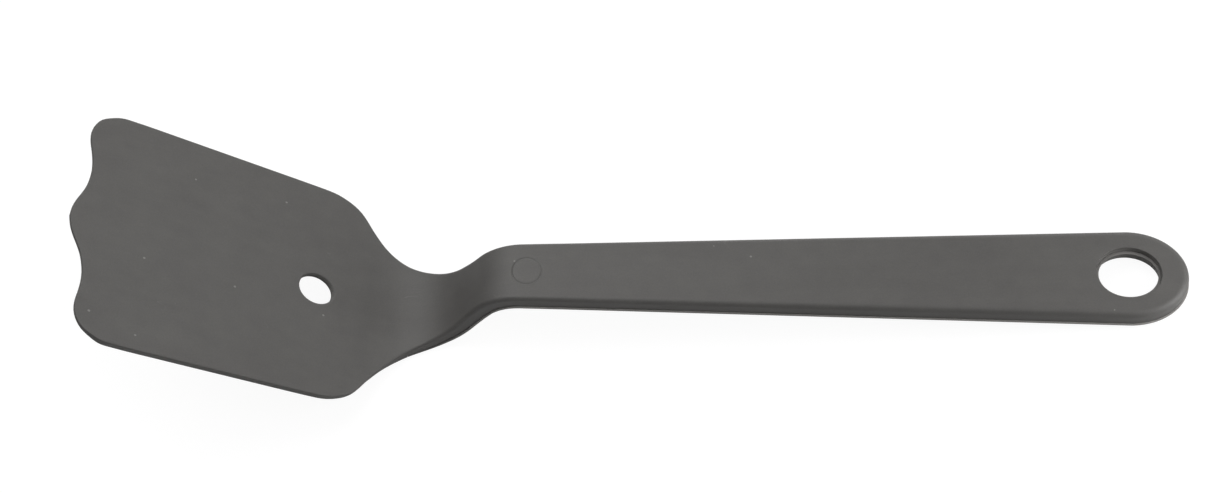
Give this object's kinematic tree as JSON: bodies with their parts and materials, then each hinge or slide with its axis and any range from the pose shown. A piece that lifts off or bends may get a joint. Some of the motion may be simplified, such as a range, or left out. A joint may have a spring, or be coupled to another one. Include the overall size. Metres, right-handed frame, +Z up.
{
  "type": "grill spatula",
  "caption": "One-material nylon turner with a wide wave-fronted blade, drip hole, swan neck, and a tapering flat handle with an oval hanging eye.",
  "frame": {"origin": "middle of the bounding box's underside, on the table the spatula rests on with its heel and its handle's end touching", "axes": "+X along the handle towards the hanging eye, +Y sideways, +Z up; X-Z is the symmetry plane"},
  "size_m": [0.2914, 0.0678, 0.0602],
  "materials": {
    "nylon_moulding": "matte dark warm-grey nylon",
    "nylon_cover": "matte dark warm-grey nylon",
    "nylon_inlay": "matte dark warm-grey nylon, slightly smoother"
  },
  "bodies": {
    "root": {"blade_neck_and_handle_moulding": "nylon_moulding", "handle_underside_cover": "nylon_cover", "round_inlay_disc": "nylon_inlay"}
  },
  "joints": []
}
